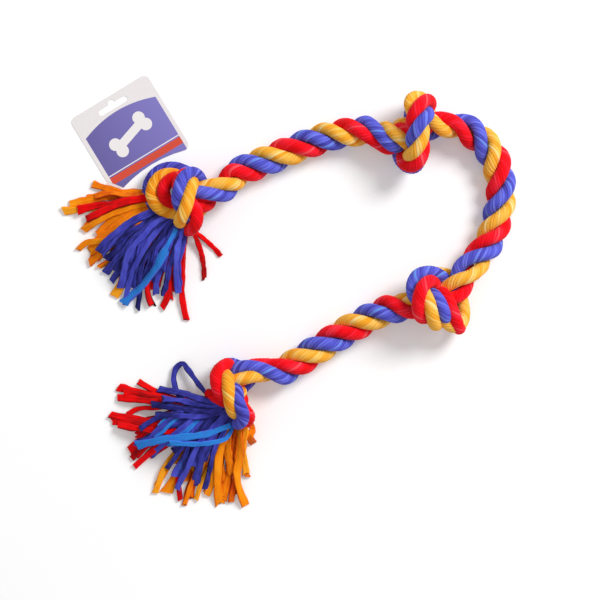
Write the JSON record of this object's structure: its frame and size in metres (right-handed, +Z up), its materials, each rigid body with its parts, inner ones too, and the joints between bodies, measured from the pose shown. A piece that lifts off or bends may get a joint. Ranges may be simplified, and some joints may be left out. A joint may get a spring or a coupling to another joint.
{
  "type": "rope dog toy",
  "caption": "Knotted fabric rope tug toy for dogs: three coloured strands laid into a rope, overhand knots along it, a tassel at each end and a hang card.",
  "frame": {"origin": "centre of the toy's box on the surface that it lies on", "axes": "+Z up from the surface; +X to the right and +Y away, as the toy is seen from above with its card at the upper left"},
  "size_m": [0.4316, 0.4094, 0.0611],
  "materials": {
    "yellow_fabric": "twisted cotton jersey, matt, yellow-orange",
    "red_fabric": "twisted cotton jersey, matt, red",
    "blue_fabric": "twisted cotton jersey, matt, blue",
    "printed_card": "printed card with a light satin varnish",
    "white_card": "bare white card"
  },
  "bodies": {
    "upper_mid": {"yellow_strand_upper_mid_knot": "yellow_fabric", "red_strand_upper_mid_knot": "red_fabric", "blue_strand_upper_mid_knot": "blue_fabric", "yellow_strand_upper_span_right": "yellow_fabric", "red_strand_upper_span_right": "red_fabric", "blue_strand_upper_span_right": "blue_fabric", "yellow_strand_bend_upper": "yellow_fabric", "red_strand_bend_upper": "red_fabric", "blue_strand_bend_upper": "blue_fabric"},
    "upper_end": {"yellow_strand_upper_end_knot": "yellow_fabric", "red_strand_upper_end_knot": "red_fabric", "blue_strand_upper_end_knot": "blue_fabric", "yellow_strand_upper_span_left": "yellow_fabric", "red_strand_upper_span_left": "red_fabric", "blue_strand_upper_span_left": "blue_fabric", "card_tail": "white_card"},
    "lower_mid": {"yellow_strand_lower_mid_knot": "yellow_fabric", "red_strand_lower_mid_knot": "red_fabric", "blue_strand_lower_mid_knot": "blue_fabric", "yellow_strand_bend_lower": "yellow_fabric", "red_strand_bend_lower": "red_fabric", "blue_strand_bend_lower": "blue_fabric", "yellow_strand_lower_span_right": "yellow_fabric", "red_strand_lower_span_right": "red_fabric", "blue_strand_lower_span_right": "blue_fabric"},
    "lower_end": {"yellow_strand_lower_end_knot": "yellow_fabric", "red_strand_lower_end_knot": "red_fabric", "blue_strand_lower_end_knot": "blue_fabric", "yellow_strand_lower_span_left": "yellow_fabric", "red_strand_lower_span_left": "red_fabric", "blue_strand_lower_span_left": "blue_fabric"},
    "upper_tassel": {"yellow_tassel_upper": "yellow_fabric", "red_tassel_upper": "red_fabric", "blue_tassel_upper": "blue_fabric"},
    "lower_tassel": {"yellow_tassel_lower": "yellow_fabric", "red_tassel_lower": "red_fabric", "blue_tassel_lower": "blue_fabric"},
    "card": {"hang_card": "printed_card"}
  },
  "joints": [
    {"name": "upper_span_flex", "type": "hinge", "parent": "upper_mid", "child": "upper_end", "pos_m": [0.01045, 0.13491, 0.01204], "axis": [0, 0, -1], "range_deg": [-5, 30], "deforming": ["yellow_strand_upper_span_left", "red_strand_upper_span_left", "blue_strand_upper_span_left", "yellow_strand_upper_span_right", "red_strand_upper_span_right", "blue_strand_upper_span_right"]},
    {"name": "bend_flex", "type": "hinge", "parent": "upper_mid", "child": "lower_mid", "pos_m": [0.20157, 0.09895, 0.0121], "axis": [0, 0, 1], "range_deg": [0, 40], "deforming": ["yellow_strand_bend_upper", "red_strand_bend_upper", "blue_strand_bend_upper", "yellow_strand_bend_lower", "red_strand_bend_lower", "blue_strand_bend_lower"]},
    {"name": "lower_span_flex", "type": "hinge", "parent": "lower_mid", "child": "lower_end", "pos_m": [0.03771, -0.05097, 0.01202], "axis": [0, 0, 1], "range_deg": [-5, 30], "deforming": ["yellow_strand_lower_span_left", "red_strand_lower_span_left", "blue_strand_lower_span_left", "yellow_strand_lower_span_right", "red_strand_lower_span_right", "blue_strand_lower_span_right"]},
    {"name": "upper_tassel_sway", "type": "hinge", "parent": "upper_end", "child": "upper_tassel", "pos_m": [-0.1231, 0.0707, 0.0165], "axis": [0, 0, 1], "range_deg": [-12, 12], "deforming": ["yellow_tassel_upper", "red_tassel_upper", "blue_tassel_upper"]},
    {"name": "lower_tassel_sway", "type": "hinge", "parent": "lower_end", "child": "lower_tassel", "pos_m": [-0.068, -0.105, 0.018], "axis": [0, 0, 1], "range_deg": [-12, 12], "deforming": ["yellow_tassel_lower", "red_tassel_lower", "blue_tassel_lower"]},
    {"name": "card_flap", "type": "hinge", "parent": "upper_end", "child": "card", "pos_m": [-0.16642, 0.09972, 0.0003], "axis": [0.9332, -0.3593, 0], "range_deg": [0, 45]}
  ]
}
